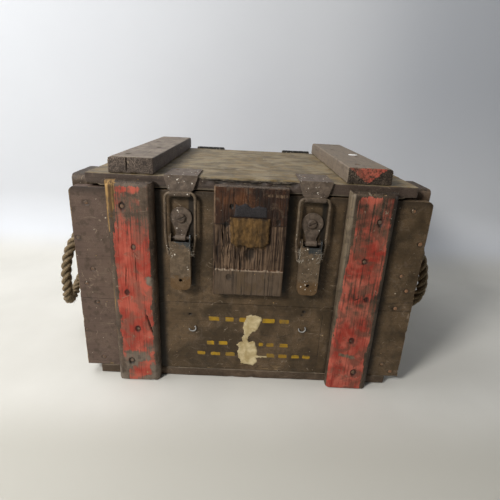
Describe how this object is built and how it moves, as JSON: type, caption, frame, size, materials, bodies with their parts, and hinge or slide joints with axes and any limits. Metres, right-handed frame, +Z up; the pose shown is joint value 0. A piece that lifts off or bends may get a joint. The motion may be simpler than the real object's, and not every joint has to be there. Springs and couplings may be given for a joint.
{
  "type": "wooden shipping crate",
  "caption": "Small wooden crate with a hinged lid held by two toggle latches, nailed battens and a rope handle at each end.",
  "frame": {"origin": "on the floor under the middle of the body, under the floor boards", "axes": "+Z up, -Y towards the latches, +Y towards the hinges, X along the length of the lid"},
  "size_m": [0.5259, 0.31, 0.2808],
  "materials": {
    "floor_wood": "weathered brown paint over softwood",
    "painted_boards": "matt brown-olive paint, scuffed, over softwood boards",
    "red_paint_wood": "faded red paint worn to bare wood along the edges",
    "lid_wood": "weathered greenish tan paint, worn thin",
    "batten_wood": "grey-brown paint worn to bare wood on the edges and the sawn ends",
    "seal_block_wood": "bare weathered wood with traces of paint",
    "tab_leather": "worn ochre brown, frayed along its lower edge",
    "dark_tape": "torn dark cloth tape",
    "label_paper": "torn cream paper",
    "sticker_paper": "small round white paper sticker",
    "bare_wire": "bright cut wire",
    "latch_steel": "brown-olive paint over pressed steel, worn at the edges",
    "lever_steel": "paint worn to grey steel and rust at the lower end",
    "bail_wire": "tarnished steel wire with traces of paint",
    "hinge_steel": "dark painted steel",
    "rusty_fixings": "rusted steel",
    "nail_rust": "rusted nail heads",
    "hemp_rope": "three-strand natural fibre rope, dirty"
  },
  "bodies": {
    "crate": {"floor_board_front": "floor_wood", "floor_board_middle": "floor_wood", "floor_board_rear": "floor_wood", "front_board_lower": "painted_boards", "front_board_upper": "painted_boards", "rear_board_lower": "painted_boards", "rear_board_upper": "painted_boards", "end_board_left_lower": "painted_boards", "end_board_left_upper": "painted_boards", "end_board_right_lower": "painted_boards", "end_board_right_upper": "painted_boards", "post_left_front": "painted_boards", "post_left_rear": "painted_boards", "post_right_front": "painted_boards", "post_right_rear": "painted_boards", "batten_front_left": "red_paint_wood", "batten_front_right": "red_paint_wood", "batten_rear_left": "red_paint_wood", "batten_rear_right": "red_paint_wood", "seal_block": "seal_block_wood", "seal_tab": "tab_leather", "tape_remnant": "dark_tape", "label_remnant": "label_paper", "wire_staples": "bare_wire", "batten_nails_front": "nail_rust", "edge_nails_front": "nail_rust", "nails_rear": "nail_rust", "nails_ends": "nail_rust", "latch_base_left": "latch_steel", "latch_base_right": "latch_steel", "latch_screws": "rusty_fixings", "hinge_leaf_body_left": "hinge_steel", "hinge_leaf_body_right": "hinge_steel", "hinge_pin_left": "rusty_fixings", "hinge_pin_right": "rusty_fixings", "hinge_screws_body": "rusty_fixings", "rope_handle_left": "hemp_rope", "rope_handle_right": "hemp_rope", "rope_knots_left": "hemp_rope", "rope_knots_right": "hemp_rope"},
    "lid": {"lid_board_front": "lid_wood", "lid_board_rear": "lid_wood", "lid_batten_left": "batten_wood", "lid_batten_right": "batten_wood", "lid_nails": "nail_rust", "sticker": "sticker_paper", "keeper_left": "latch_steel", "keeper_right": "latch_steel", "keeper_nails": "nail_rust", "hinge_leaf_lid_left": "hinge_steel", "hinge_leaf_lid_right": "hinge_steel", "hinge_screws_lid": "rusty_fixings"},
    "lever_left": {"lever_left": "lever_steel", "lever_pin_left": "rusty_fixings"},
    "bail_left": {"bail_left": "bail_wire"},
    "lever_right": {"lever_right": "lever_steel", "lever_pin_right": "rusty_fixings"},
    "bail_right": {"bail_right": "bail_wire"}
  },
  "joints": [
    {"name": "lid_hinge", "type": "hinge", "parent": "crate", "child": "lid", "pos_m": [0, 0.144, 0.2618], "axis": [-1, 0, 0], "range_deg": [0, 110]},
    {"name": "lever_left_hinge", "type": "hinge", "parent": "crate", "child": "lever_left", "pos_m": [-0.078, -0.1475, 0.194], "axis": [-1, 0, 0], "range_deg": [0, 150]},
    {"name": "bail_left_hinge", "type": "hinge", "parent": "lever_left", "child": "bail_left", "pos_m": [-0.078, -0.147, 0.173], "axis": [1, 0, 0], "range_deg": [0, 300]},
    {"name": "lever_right_hinge", "type": "hinge", "parent": "crate", "child": "lever_right", "pos_m": [0.07, -0.1475, 0.194], "axis": [-1, 0, 0], "range_deg": [0, 150]},
    {"name": "bail_right_hinge", "type": "hinge", "parent": "lever_right", "child": "bail_right", "pos_m": [0.07, -0.147, 0.173], "axis": [1, 0, 0], "range_deg": [0, 300]}
  ],
  "couplings": [
    {"joint": "bail_left_hinge", "follows": "lever_left_hinge", "ratio": 2},
    {"joint": "bail_right_hinge", "follows": "lever_right_hinge", "ratio": 2}
  ]
}
